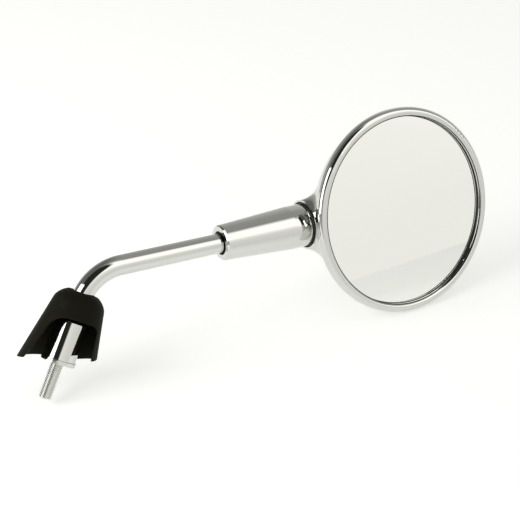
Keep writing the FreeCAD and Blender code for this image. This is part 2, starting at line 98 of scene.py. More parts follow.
class StemSizes(bpy.types.PropertyGroup):
    """Sizes of the threaded stem, in metres."""
    stud_dia: bpy.props.FloatProperty(
        name="Stud", description="Outer size of the stud's thread",
        default=8.0 * MM, unit="LENGTH", precision=5)
    stud_length: bpy.props.FloatProperty(
        name="Stud length", description="From the flange's underside to the stud's tip",
        default=22.0 * MM, unit="LENGTH", precision=5)
    pitch: bpy.props.FloatProperty(
        name="Pitch", description="Distance between the stud's threads",
        default=1.25 * MM, unit="LENGTH", precision=5)
    thread_depth: bpy.props.FloatProperty(
        name="Thread depth", description="Depth of the thread below its crest",
        default=0.68 * MM, unit="LENGTH", precision=5)
    flange_dia: bpy.props.FloatProperty(
        name="Flange", description="Size of the flange at the stem's foot",
        default=20.8 * MM, unit="LENGTH", precision=5)
    flange_thick: bpy.props.FloatProperty(
        name="Flange thickness", description="Height of the flange's plain edge",
        default=2.6 * MM, unit="LENGTH", precision=5)
    stem_base_dia: bpy.props.FloatProperty(
        name="Stem foot", description="Size of the tapered stem above the flange",
        default=19.8 * MM, unit="LENGTH", precision=5)
    stem_top_dia: bpy.props.FloatProperty(
        name="Stem top", description="Size of the tapered stem below its shoulder",
        default=19.2 * MM, unit="LENGTH", precision=5)
    shoulder: bpy.props.FloatProperty(
        name="Shoulder", description="Height of the slope from the stem in to the tube",
        default=1.5 * MM, unit="LENGTH", precision=5)
    tube_dia: bpy.props.FloatProperty(
        name="Arm", description="Outer size of the arm's tube",
        default=12.5 * MM, unit="LENGTH", precision=5)


class ClampSizes(bpy.types.PropertyGroup):
    """Sizes of the fasteners inside the ball joint and on the ferrule, in metres."""
    bolt_dia: bpy.props.FloatProperty(
        name="Tie bolt", description="Outer size of the tie bolt's thread",
        default=5.0 * MM, unit="LENGTH", precision=5)
    bolt_pitch: bpy.props.FloatProperty(
        name="Bolt pitch", description="Distance between the tie bolt's threads",
        default=0.8 * MM, unit="LENGTH", precision=5)
    nut_flats: bpy.props.FloatProperty(
        name="Nut", description="Size of the nut across its flats",
        default=8.0 * MM, unit="LENGTH", precision=5)
    grub_dia: bpy.props.FloatProperty(
        name="Grub screw", description="Outer size of the grub screw",
        default=5.0 * MM, unit="LENGTH", precision=5)
    key_flats: bpy.props.FloatProperty(
        name="Key", description="Size of the grub screw's socket across its flats",
        default=2.5 * MM, unit="LENGTH", precision=5)


class FinishColours(bpy.types.PropertyGroup):
    """Colours of the finishes."""
    chrome: bpy.props.FloatVectorProperty(
        name="Chrome", description="Polished chrome plate",
        default=linear("#D6D7D3"), subtype="COLOR", min=0.0, max=1.0)
    silver: bpy.props.FloatVectorProperty(
        name="Mirror", description="Silvering behind the glass",
        default=linear("#F7F8F3"), subtype="COLOR", min=0.0, max=1.0)
    boot: bpy.props.FloatVectorProperty(
        name="Boot", description="Moulded rubber of the boot",
        default=linear("#1A1911"), subtype="COLOR", min=0.0, max=1.0)
    seal: bpy.props.FloatVectorProperty(
        name="Seal", description="Rubber of the gasket round the glass",
        default=linear("#2A2A25"), subtype="COLOR", min=0.0, max=1.0)
    zinc: bpy.props.FloatVectorProperty(
        name="Zinc", description="Zinc plate on the nut",
        default=linear("#BCC6C4"), subtype="COLOR", min=0.0, max=1.0)
    steel: bpy.props.FloatVectorProperty(
        name="Steel", description="Plain steel of the inner fasteners",
        default=linear("#A3A4A2"), subtype="COLOR", min=0.0, max=1.0)
    nylon: bpy.props.FloatVectorProperty(
        name="Nylon", description="Moulded nylon of the bush and the ball's liner",
        default=linear("#34342F"), subtype="COLOR", min=0.0, max=1.0)
    foam: bpy.props.FloatVectorProperty(
        name="Foam", description="Foam pad behind the glass",
        default=linear("#4A4A46"), subtype="COLOR", min=0.0, max=1.0)
    floor: bpy.props.FloatVectorProperty(
        name="Floor", description="Pale floor and background",
        default=linear("#F3F3F0"), subtype="COLOR", min=0.0, max=1.0)


def node(tree, kind, feeds=None, **settings):
    """Add a node, set its fields, and give its inputs a value or a link."""
    item = tree.nodes.new(kind)
    for name, value in settings.items():
        setattr(item, name, value)
    for socket, feed in (feeds or {}).items():
        if isinstance(feed, bpy.types.NodeSocket):
            tree.links.new(feed, item.inputs[socket])
        else:
            item.inputs[socket].default_value = feed
    return item


def opaque(colour):
    return (*colour, 1.0)


def blank_material(name):
    material = bpy.data.materials.new(name)
    material.use_nodes = True
    material.node_tree.nodes.clear()
    return material


def surface(material, shader):
    node(material.node_tree, "ShaderNodeOutputMaterial", {"Surface": shader.outputs[0]})
    return material


def chrome_plate(name, ripple_mm, ripple_height_mm, smear_roughness):
    """Bright chrome over nickel: a cold, nearly perfect mirror. The polished metal
    below leaves slow ripples in what it reflects, and handling a faint haze."""
    material = blank_material(name)
    tree = material.node_tree
    place = node(tree, "ShaderNodeTexCoord").outputs["Object"]
    ripple = node(tree, "ShaderNodeTexNoise", {
        "Vector": place, "Scale": 1 / (ripple_mm * MM), "Detail": 1.0})
    haze_size_mm = 22.0
    haze = node(tree, "ShaderNodeTexNoise", {
        "Vector": place, "Scale": 1 / (haze_size_mm * MM), "Detail": 4.0})
    roughness = node(tree, "ShaderNodeMapRange", {
        "Value": haze.outputs["Fac"], "From Min": 0.35, "From Max": 0.75,
        "To Min": 0.03, "To Max": smear_roughness})
    bump = node(tree, "ShaderNodeBump", {
        "Strength": 1.0, "Distance": ripple_height_mm * MM, "Height": ripple.outputs["Fac"]})
    return surface(material, node(tree, "ShaderNodeBsdfPrincipled", {
        "Base Color": opaque(bpy.context.scene.mirror_colours.chrome), "Metallic": 1.0,
        "Roughness": roughness.outputs["Result"], "Normal": bump.outputs["Normal"]}))


def silvered_glass():
    """Float glass silvered on its back: clear, flat and brighter than chrome, with
    a breath of dust that only shows as a slight haze."""
    material = blank_material("silvered_glass")
    tree = material.node_tree
    place = node(tree, "ShaderNodeTexCoord").outputs["Object"]
    dust_size_mm = 30.0
    dust = node(tree, "ShaderNodeTexNoise", {
        "Vector": place, "Scale": 1 / (dust_size_mm * MM), "Detail": 5.0})
    roughness = node(tree, "ShaderNodeMapRange", {
        "Value": dust.outputs["Fac"], "From Min": 0.4, "From Max": 0.7, "To Min": 0.0, "To Max": 0.035})
    return surface(material, node(tree, "ShaderNodeBsdfPrincipled", {
        "Base Color": opaque(bpy.context.scene.mirror_colours.silver), "Metallic": 1.0,
        "Roughness": roughness.outputs["Result"], "Coat Weight": 0.3, "Coat Roughness": 0.02}))


def moulded_rubber(name, colour_name, sheen_roughness, shine, grain_mm):
    """Carbon-filled rubber from a spark-eroded mould: nearly black, with a fine even
    grain that spreads the light, and a few paler scuffs."""
    material = blank_material(name)
    tree = material.node_tree
    colour = tuple(getattr(bpy.context.scene.mirror_colours, colour_name))
    place = node(tree, "ShaderNodeTexCoord").outputs["Object"]
    grain = node(tree, "ShaderNodeTexNoise", {
        "Vector": place, "Scale": 1 / (grain_mm * MM), "Detail": 3.0})
    scuff_size_mm = 9.0
    scuff = node(tree, "ShaderNodeTexNoise", {
        "Vector": place, "Scale": 1 / (scuff_size_mm * MM), "Detail": 6.0, "Roughness": 0.65})
    paler = node(tree, "ShaderNodeMapRange", {
        "Value": scuff.outputs["Fac"], "From Min": 0.52, "From Max": 0.8, "To Min": 0.0, "To Max": 0.35})
    dust = tuple(0.75 * part + 0.02 for part in colour)
    tint = node(tree, "ShaderNodeMix", {
        0: paler.outputs["Result"], 6: opaque(colour), 7: opaque(dust)}, data_type="RGBA")
    roughness = node(tree, "ShaderNodeMapRange", {
        "Value": scuff.outputs["Fac"], "From Min": 0.3, "From Max": 0.7,
        "To Min": sheen_roughness - 0.06, "To Max": sheen_roughness + 0.1})
    grain_height_mm = 0.02
    bump = node(tree, "ShaderNodeBump", {
        "Strength": 0.6, "Distance": grain_height_mm * MM, "Height": grain.outputs["Fac"]})
    return surface(material, node(tree, "ShaderNodeBsdfPrincipled", {
        "Base Color": tint.outputs[2], "Roughness": roughness.outputs["Result"], "IOR": 1.5,
        "Specular IOR Level": shine, "Normal": bump.outputs["Normal"]}))


def zinc_plate():
    """Bright zinc with a clear blue passivate: a pale, slightly cloudy metal that
    keeps the fine lines of the rolled strip below."""
    material = blank_material("zinc_plate")
    tree = material.node_tree
    colour = tuple(bpy.context.scene.mirror_colours.zinc)
    place = node(tree, "ShaderNodeTexCoord").outputs["Object"]
    cloud_size_mm = 4.0
    cloud = node(tree, "ShaderNodeTexNoise", {
        "Vector": place, "Scale": 1 / (cloud_size_mm * MM), "Detail": 4.0})
    stretched = node(tree, "ShaderNodeMapping", {"Vector": place, "Scale": (0.08, 1.0, 1.0)})
    line_mm = 0.35
    lines = node(tree, "ShaderNodeTexNoise", {
        "Vector": stretched.outputs["Vector"], "Scale": 1 / (line_mm * MM), "Detail": 2.0})
    warmer = (colour[0] * 1.06, colour[1] * 1.02, colour[2] * 0.96)
    tint = node(tree, "ShaderNodeMix", {
        0: cloud.outputs["Fac"], 6: opaque(colour), 7: opaque(warmer)}, data_type="RGBA")
    roughness = node(tree, "ShaderNodeMapRange", {
        "Value": cloud.outputs["Fac"], "From Min": 0.3, "From Max": 0.7, "To Min": 0.26, "To Max": 0.4})
    line_height_mm = 0.004
    bump = node(tree, "ShaderNodeBump", {
        "Strength": 0.6, "Distance": line_height_mm * MM, "Height": lines.outputs["Fac"]})
    return surface(material, node(tree, "ShaderNodeBsdfPrincipled", {
        "Base Color": tint.outputs[2], "Metallic": 1.0, "Roughness": roughness.outputs["Result"],
        "Normal": bump.outputs["Normal"]}))


def turned_steel():
    """Mild steel off the lathe: grey, with fine tool marks and a thin film of oil."""
    material = blank_material("turned_steel")
    tree = material.node_tree
    place = node(tree, "ShaderNodeTexCoord").outputs["Object"]
    feed_mm = 0.3
    marks = node(tree, "ShaderNodeTexNoise", {
        "Vector": place, "Scale": 1 / (feed_mm * MM), "Detail": 3.0})
    film_size_mm = 5.0
    film = node(tree, "ShaderNodeTexNoise", {
        "Vector": place, "Scale": 1 / (film_size_mm * MM), "Detail": 3.0})
    roughness = node(tree, "ShaderNodeMapRange", {
        "Value": film.outputs["Fac"], "From Min": 0.3, "From Max": 0.7, "To Min": 0.25, "To Max": 0.42})
    mark_height_mm = 0.004
    bump = node(tree, "ShaderNodeBump", {
        "Strength": 0.5, "Distance": mark_height_mm * MM, "Height": marks.outputs["Fac"]})
    return surface(material, node(tree, "ShaderNodeBsdfPrincipled", {
        "Base Color": opaque(bpy.context.scene.mirror_colours.steel), "Metallic": 1.0,
        "Roughness": roughness.outputs["Result"], "Normal": bump.outputs["Normal"]}))


def moulded_nylon():
    """Black nylon from a mould: a dull, slightly waxy surface with a fine grain."""
    material = blank_material("moulded_nylon")
    tree = material.node_tree
    place = node(tree, "ShaderNodeTexCoord").outputs["Object"]
    grain_mm = 0.5
    grain = node(tree, "ShaderNodeTexNoise", {
        "Vector": place, "Scale": 1 / (grain_mm * MM), "Detail": 3.0})
    roughness = node(tree, "ShaderNodeMapRange", {
        "Value": grain.outputs["Fac"], "From Min": 0.3, "From Max": 0.7, "To Min": 0.42, "To Max": 0.56})
    grain_height_mm = 0.015
    bump = node(tree, "ShaderNodeBump", {
        "Strength": 0.5, "Distance": grain_height_mm * MM, "Height": grain.outputs["Fac"]})
    return surface(material, node(tree, "ShaderNodeBsdfPrincipled", {
        "Base Color": opaque(bpy.context.scene.mirror_colours.nylon), "IOR": 1.53,
        "Roughness": roughness.outputs["Result"], "Normal": bump.outputs["Normal"]}))


def cell_foam():
    """Grey polyurethane foam: matt, with open cells whose middles get painted shade, as small dark pits.
    """
    material = blank_material("cell_foam")
    tree = material.node_tree
    colour = tuple(bpy.context.scene.mirror_colours.foam)
    place = node(tree, "ShaderNodeTexCoord").outputs["Object"]
    cell_mm = 0.9
    cells = node(tree, "ShaderNodeTexVoronoi", {"Vector": place, "Scale": 1 / (cell_mm * MM)})
    # Painted shade: each cell's middle is darkened as the shade inside an open pit.
    pit_shade = tuple(0.45 * part for part in colour)
    shade = node(tree, "ShaderNodeMix", {
        0: cells.outputs["Distance"], 6: opaque(pit_shade), 7: opaque(colour)}, data_type="RGBA")
    cell_depth_mm = 0.25
    bump = node(tree, "ShaderNodeBump", {
        "Strength": 0.8, "Distance": cell_depth_mm * MM, "Height": cells.outputs["Distance"]})
    return surface(material, node(tree, "ShaderNodeBsdfPrincipled", {
        "Base Color": shade.outputs[2], "Roughness": 0.9, "Normal": bump.outputs["Normal"]}))


MAKERS = {
    "chrome_tube": lambda: chrome_plate("chrome_on_drawn_tube", 9.0, 0.006, 0.085),
    "chrome_turned": lambda: chrome_plate("chrome_on_turned_steel", 5.0, 0.003, 0.075),
    "chrome_satin": lambda: chrome_plate("satin_chrome_on_turned_steel", 5.0, 0.003, 0.36),
    "chrome_rolled": lambda: chrome_plate("chrome_on_rolled_strip", 7.0, 0.004, 0.075),
    "chrome_moulded": lambda: chrome_plate("chrome_on_moulded_plastic", 14.0, 0.008, 0.065),
    "glass": silvered_glass,
    "boot": lambda: moulded_rubber("moulded_boot_rubber", "boot", 0.6, 0.07, 0.6),
    "seal": lambda: moulded_rubber("seal_rubber", "seal", 0.55, 0.3, 0.5),
    "zinc": zinc_plate,
    "steel": turned_steel,
    "nylon": moulded_nylon,
    "foam": cell_foam,
}
finishes = {}


def finish(key):
    """The material for a finish, made on first use."""
    if key not in finishes:
        finishes[key] = MAKERS[key]()
    return finishes[key]


def dress(node_name, key):
    """Give a CAD node its finish."""
    materials = NODES[node_name].data.materials
    materials.clear()
    materials.append(finish(key))


def settle(name, mesh, key, body, replaced):
    """Make a finished mesh a piece that rides on a body and, where one is named, stands
    for a CAD node."""
    mesh.materials.clear()
    mesh.materials.append(finish(key))
    piece = bpy.data.objects.new(name, mesh)
    bpy.context.scene.collection.objects.link(piece)
    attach(piece, body)
    if replaced:
        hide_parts(replaced)
    return piece


def eased(corners, radius, steps=3):
    """A profile with each inner corner rounded off by a short curve."""
    points = [Vector(corners[0])]
    for before, corner, after in zip(corners, corners[1:], corners[2:]):
        before, corner, after = Vector(before), Vector(corner), Vector(after)
        reach = min(radius, (before - corner).length / 2, (after - corner).length / 2)
        start = corner + (before - corner).normalized() * reach
        end = corner + (after - corner).normalized() * reach
        for step in range(steps + 1):
            share = step / steps
            points.append(start.lerp(corner, share).lerp(corner.lerp(end, share), share))
    points.append(Vector(corners[-1]))
    return [tuple(point) for point in points]


def hexagon(flats):
    """Radius of a hexagon at an angle, from its size across flats."""
    sixth = math.pi / 3
    return lambda angle: flats / 2 / math.cos((angle + sixth / 2) % sixth - sixth / 2)


def skin(rings, segments, closed=False):
    """A bmesh of rings about Z. A ring is (radius, height), and its radius may be a
    number or a function of the angle. A ring of no radius is a point."""
    shape = bmesh.new()
    angles = [2 * math.pi * index / segments for index in range(segments)]
    loops = []
    for radius, height in rings:
        if radius == 0:
            loops.append([shape.verts.new((0.0, 0.0, height))])
            continue
        reach = radius if callable(radius) else lambda angle, same=radius: same
        spots = [(reach(angle) * math.cos(angle), reach(angle) * math.sin(angle), height)
                 for angle in angles]
        loops.append([shape.verts.new(spot) for spot in spots])
    if closed:
        loops.append(loops[0])
    for lower, upper in zip(loops, loops[1:]):
        for index in range(segments):
            after = (index + 1) % segments
            around = [lower[index % len(lower)], lower[after % len(lower)],
                      upper[after % len(upper)], upper[index % len(upper)]]
            corners = list(dict.fromkeys(around))
            if len(corners) > 2:
                shape.faces.new(corners)
    return shape


def as_mesh(name, shape, place=None, smooth_angle=32.0):
    """Close a bmesh's doubles, turn its faces outwards and make it a mesh in its place."""
    bmesh.ops.remove_doubles(shape, verts=shape.verts, dist=MERGE_DISTANCE)
    bmesh.ops.recalc_face_normals(shape, faces=shape.faces)
    mesh = bpy.data.meshes.new(name)
    shape.to_mesh(mesh)
    shape.free()
    if place is not None:
        mesh.transform(place)
    mesh.shade_smooth()
    mesh.set_sharp_from_angle(angle=math.radians(smooth_angle))
    return mesh


THREAD_INPUTS = ("Radius", "Pitch", "Depth", "Length", "Tip Chamfer", "Root Chamfer")
THREAD_SEGMENTS = 64
HEXAGON_SEGMENTS = 96
RINGS_PER_TURN = 12


def thread_tree(rings, material):
    """Geometry nodes for a rolled thread that runs down from the origin: a grid wrapped
    round the axis, whose radius falls in a V between the crests of a helix."""
    tree = bpy.data.node_groups.new("rolled_thread", "GeometryNodeTree")
    tree.interface.new_socket("Geometry", in_out="OUTPUT", socket_type="NodeSocketGeometry")
    for name in THREAD_INPUTS:
        tree.interface.new_socket(name, in_out="INPUT", socket_type="NodeSocketFloat")
    sizes = node(tree, "NodeGroupInput").outputs
    grid = node(tree, "GeometryNodeMeshGrid", {
        "Size X": 1.0, "Size Y": 1.0, "Vertices X": rings, "Vertices Y": THREAD_SEGMENTS + 1})
    position = node(tree, "GeometryNodeInputPosition").outputs[0]
    spot = node(tree, "ShaderNodeSeparateXYZ", {0: position})

    def sum_of(operation, *feeds):
        return node(tree, "ShaderNodeMath", dict(enumerate(feeds)), operation=operation).outputs[0]

    down = sum_of("ADD", spot.outputs["X"], 0.5)
    turn = sum_of("ADD", spot.outputs["Y"], 0.5)
    depth = sum_of("MULTIPLY", down, sizes["Length"])
    phase = sum_of("FRACT", sum_of("ADD", sum_of("DIVIDE", depth, sizes["Pitch"]), turn))
    slope = sum_of("MULTIPLY_ADD", phase, 2.0, -1.0)
    valley = sum_of("SUBTRACT", 1.0, sum_of("ABSOLUTE", slope))
    flat_crest, flat_root = 0.16, 0.86
    groove = node(tree, "ShaderNodeMapRange", {
        "Value": valley, "From Min": flat_crest, "From Max": flat_root}).outputs["Result"]
    full = sum_of("SUBTRACT", sizes["Radius"], sum_of("MULTIPLY", groove, sizes["Depth"]))
    to_tip = sum_of("SUBTRACT", sizes["Length"], depth)
    at_tip = sum_of("ADD", sum_of("SUBTRACT", sizes["Radius"], sizes["Tip Chamfer"]), to_tip)
    at_root = sum_of("ADD", sum_of("SUBTRACT", sizes["Radius"], sizes["Root Chamfer"]), depth)
    radius = sum_of("MINIMUM", full, sum_of("MINIMUM", at_tip, at_root))
    angle = sum_of("MULTIPLY", turn, 2 * math.pi)
    wrapped = node(tree, "ShaderNodeCombineXYZ", {
        "X": sum_of("MULTIPLY", radius, sum_of("COSINE", angle)),
        "Y": sum_of("MULTIPLY", radius, sum_of("SINE", angle)),
        "Z": sum_of("MULTIPLY", depth, -1.0)})
    moved = node(tree, "GeometryNodeSetPosition", {
        "Geometry": grid.outputs["Mesh"], "Position": wrapped.outputs[0]})
    merged = node(tree, "GeometryNodeMergeByDistance", {
        "Geometry": moved.outputs[0], "Distance": MERGE_DISTANCE})
    real = node(tree, "GeometryNodeRealizeInstances", {"Geometry": merged.outputs[0]})
    coated = node(tree, "GeometryNodeSetMaterial", {
        "Geometry": real.outputs[0], "Material": material})
    node(tree, "NodeGroupOutput", {0: coated.outputs[0]})
    return tree


def thread(radius, pitch, depth, length, tip_chamfer, root_chamfer, material):
    """A bmesh of a thread below the origin, open at its root and closed at its tip."""
    rings = int(length / pitch * RINGS_PER_TURN) + 1
    tree = thread_tree(rings, material)
    holder = bpy.data.objects.new("thread_blank", bpy.data.meshes.new("thread_blank"))
    bpy.context.scene.collection.objects.link(holder)
    modifier = holder.modifiers.new("Thread", "NODES")
    modifier.node_group = tree
    sizes = dict(zip(THREAD_INPUTS, (radius, pitch, depth, length, tip_chamfer, root_chamfer)))
    for item in tree.interface.items_tree:
        if item.in_out == "INPUT":
            modifier[item.identifier] = sizes[item.name]
    shape = evaluated(holder)
    lowest = [vert for vert in shape.verts if abs(vert.co.z + length) < 1e-7]
    open_edges = [edge for edge in shape.edges if edge.is_boundary]
    tip = [edge for edge in open_edges if all(vert in lowest for vert in edge.verts)]
    bmesh.ops.holes_fill(shape, edges=tip)
    return shape


def evaluated(holder):
    """The bmesh that an object's modifiers give. The object itself is removed."""
    bpy.context.view_layer.update()
    graph = bpy.context.evaluated_depsgraph_get()
    mesh = bpy.data.meshes.new_from_object(holder.evaluated_get(graph))
    shape = bmesh.new()
    shape.from_mesh(mesh)
    blank = holder.data
    bpy.data.objects.remove(holder)
    bpy.data.meshes.remove(blank)
    bpy.data.meshes.remove(mesh)
    return shape


def joined(first, second, shift):
    """Add a second bmesh, moved along Z, to the first."""
    extra = bpy.data.meshes.new("joined")
    second.to_mesh(extra)
    second.free()
    extra.transform(Matrix.Translation((0.0, 0.0, shift)))
    first.from_mesh(extra)
    bpy.data.meshes.remove(extra)
    return first


class SCOOTER_OT_threaded_stem(bpy.types.Operator):
    """Turn the stem with its rolled stud thread, flange, taper and spigot"""
    bl_idname = "scooter.threaded_stem"
    bl_label = "Threaded stem"

    def execute(self, context):
        sizes = context.scene.mirror_stem
        stem_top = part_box("arm_tube")[0].z
        spigot_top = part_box("mounting_stem")[1].z
        wall_and_gap = 1.55 * MM
        spigot_radius = sizes.tube_dia / 2 - wall_and_gap
        thread_root = sizes.stud_dia / 2 - sizes.thread_depth
        tip_chamfer = 1.0 * MM
        edge = 0.3 * MM
        rings = eased([
            (thread_root, 0.0), (sizes.flange_dia / 2, 0.0), (sizes.flange_dia / 2, sizes.flange_thick),
            (sizes.stem_base_dia / 2, sizes.flange_thick),
            (sizes.stem_top_dia / 2, stem_top - sizes.shoulder), (sizes.tube_dia / 2, stem_top),
            (spigot_radius, stem_top), (spigot_radius, spigot_top), (0.0, spigot_top)], edge)
        stud = thread(sizes.stud_dia / 2, sizes.pitch, sizes.thread_depth, sizes.stud_length,
                      tip_chamfer, sizes.thread_depth, finish("chrome_turned"))
        shape = joined(stud, skin(rings, THREAD_SEGMENTS), 0.0)
        mesh = as_mesh("threaded_stem", shape)
        stem = settle("threaded_stem", mesh, "chrome_turned", "arm", "mounting_stem")
        # The flange keeps the dull plate of a face that was never polished.
        stem.data.materials.append(finish("chrome_satin"))
        for face in stem.data.polygons:
            beyond_stud = face.center.xy.length > sizes.stud_dia / 2 + edge
            if beyond_stud and face.center.z < sizes.flange_thick + edge:
                face.material_index = 1
        return {"FINISHED"}


class SCOOTER_OT_rubber_boot(bpy.types.Operator):
    """Soften the boot's edges to the rounded lips of a rubber moulding"""
    bl_idname = "scooter.rubber_boot"
    bl_label = "Rubber boot"

    def execute(self, context):
        blank = bpy.data.objects.new("boot_blank", NODES["rubber_boot"].data.copy())
        context.scene.collection.objects.link(blank)
        weld = blank.modifiers.new("Weld", "WELD")
        weld.merge_threshold = 1e-5
        remesh = blank.modifiers.new("Remesh", "REMESH")
        remesh.mode = "VOXEL"
        remesh.voxel_size = 0.42 * MM
        smooth = blank.modifiers.new("Smooth", "SMOOTH")
        smooth.factor = 0.5
        smooth.iterations = 14
        mesh = as_mesh("boot", evaluated(blank), smooth_angle=180.0)
        settle("boot", mesh, "boot", "boot", "rubber_boot")
        return {"FINISHED"}


class SCOOTER_OT_chrome_arm(bpy.types.Operator):
    """Finish the bent arm, the ferrule and the bush inside it"""
    bl_idname = "scooter.chrome_arm"
    bl_label = "Chrome arm"

    def execute(self, context):
        dress("arm_tube", "chrome_tube")
        dress("ferrule", "chrome_turned")
        dress("ferrule_bush", "nylon")
        dress("arm_plug", "steel")
        return {"FINISHED"}


class SCOOTER_OT_fasteners(bpy.types.Operator):
    """Make the grub screw, the threaded tie bolt and its nut, and finish the joint's washers"""
    bl_idname = "scooter.fasteners"
    bl_label = "Fasteners"

    def execute(self, context):
        sizes = context.scene.mirror_clamp
        self.tie_bolt(sizes)
        self.lock_nut(sizes)
        self.grub_screw(sizes)
        dress("ball_liner", "nylon")
        for name in NODES:
            if name in ("thrust_cup", "spring_seat") or name.startswith("disc_spring"):
                dress(name, "steel")
        return {"FINISHED"}

    def tie_bolt(self, sizes):
        """A plain shank with a rolled thread at each end."""
        start, end = 126.5 * MM, 178.0 * MM
        plug_end, nut_end = 14.0 * MM, 13.0 * MM
        radius = sizes.bolt_dia / 2
        depth = 0.44 * MM
        chamfer = 0.6 * MM
        run_out = 0.5 * MM
        shape = thread(radius, sizes.bolt_pitch, depth, plug_end, chamfer, depth, finish("steel"))
        upper = thread(radius, sizes.bolt_pitch, depth, nut_end, chamfer, depth, finish("steel"))
        for vert in upper.verts:
            vert.co.z = -vert.co.z
        shank = end - nut_end - start - plug_end
        root = radius - depth
        plain = skin([
            (root, 0.0), (root, run_out), (radius, 2 * run_out),
            (radius, shank - 2 * run_out), (root, shank - run_out), (root, shank)], THREAD_SEGMENTS)
        shape = joined(joined(shape, plain, 0.0), upper, shank)
        place = ARM_FRAME @ Matrix.Translation((0.0, 0.0, start + plug_end))
        mesh = as_mesh("tie_bolt", shape, place)
        settle("tie_bolt_threaded", mesh, "steel", "arm", "tie_bolt")

    def lock_nut(self, sizes):
        """A hexagon nut with both faces chamfered."""
        start, height = 171.3 * MM, 5.0 * MM
        flats = hexagon(sizes.nut_flats)
        chamfer = 0.45 * MM
        bore_gap = 0.05 * MM
        bore = sizes.bolt_dia / 2 + bore_gap
        face_inset = 0.1 * MM
        washer_face = sizes.nut_flats / 2 - face_inset

        def capped(rise):
            return lambda angle: min(flats(angle), washer_face + rise * math.sqrt(3))

        levels = [chamfer * share for share in (0.0, 0.33, 0.66, 1.0)]
        rings = [(bore, 0.0)] + [(capped(level), level) for level in levels]
        rings += [(capped(level), height - level) for level in reversed(levels)]
        rings += [(bore, height)]
        place = ARM_FRAME @ Matrix.Translation((0.0, 0.0, start))
        mesh = as_mesh("lock_nut", skin(rings, HEXAGON_SEGMENTS, closed=True), place)
        settle("hex_nut", mesh, "zinc", "arm", "lock_nut")

    def grub_screw(self, sizes):
        """A set screw with a cup point and a hexagon socket, across the ferrule's back."""
        low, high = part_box("grub_screw")
        length = high.y - low.y
        radius = sizes.grub_dia / 2
        socket = hexagon(sizes.key_flats)
        chamfer = 0.5 * MM
        socket_depth = 2.0 * MM
        cup_radius, cone_depth = 1.2 * MM, 0.5 * MM
        rings = [
            (0, cone_depth), (cup_radius, 0.0), (radius - chamfer, 0.0), (radius, chamfer),
            (radius, length - chamfer), (radius - chamfer, length), (socket, length),
            (socket, length - socket_depth), (0, length - socket_depth - cone_depth)]
        middle = (low + high) / 2
        turn = Matrix.Rotation(math.radians(-90.0), 4, "X")
        place = Matrix.Translation((middle.x, low.y, middle.z)) @ turn
        mesh = as_mesh("grub_screw", skin(rings, HEXAGON_SEGMENTS), place)
        settle("socket_grub_screw", mesh, "steel", "arm", "grub_screw")


class SCOOTER_OT_mirror_head(bpy.types.Operator):
    """Finish the shell, the bezel, the gasket with its bead and the glass, and pad its back"""
    bl_idname = "scooter.mirror_head"
    bl_label = "Mirror head"

    def execute(self, context):
        dress("mirror_shell", "chrome_moulded")
        dress("bezel_ring", "chrome_rolled")
        dress("glass_gasket", "seal")
        dress("mirror_glass", "glass")
        self.gasket_bead()
        self.foam_pad()
        return {"FINISHED"}

    def gasket_bead(self):
        """The gasket's round edge, seen as a thin dark line along the bezel's rolled lip."""
        lip_radius, lip_round = 61.8 * MM, 2.2 * MM
        bead_radius = 0.35 * MM
        seat = math.radians(30.0)
        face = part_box("bezel_ring")[0].y - HEAD_CENTRE.y
        reach = lip_radius + lip_round * (1 - math.cos(seat))
        depth = face + lip_round * (1 - math.sin(seat))
        sides, segments = 10, 240
        turns = [2 * math.pi * side / sides for side in range(sides)]
        rings = [(reach + bead_radius * math.cos(turn), depth + bead_radius * math.sin(turn))
                 for turn in turns]
        mesh = as_mesh("gasket_bead", skin(rings, segments, closed=True), HEAD_FRAME, smooth_angle=180.0)
        settle("gasket_bead", mesh, "seal", "head", None)

    def foam_pad(self):
        """A disc of foam that follows the glass's hollow back, with soft edges."""
        low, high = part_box("foam_pad")
        radius = (high.x - low.x) / 2
        front = low.y - HEAD_CENTRE.y
        back = high.y - HEAD_CENTRE.y
        back_curve = 1197.5 * MM
        edge = 0.8 * MM
        steps = 12
        reaches = [radius * step / steps for step in range(1, steps + 1)]
        face = [(reach, front + reach ** 2 / (2 * back_curve)) for reach in reaches]
        outline = face + [(radius, back), (radius / 2, back)]
        rings = [(0, front)] + eased(outline, edge) + [(0, back)]
        segments = 120
        mesh = as_mesh("foam_pad", skin(rings, segments), HEAD_FRAME, smooth_angle=60.0)
        pad = settle("backing_foam", mesh, "foam", "head", "foam_pad")


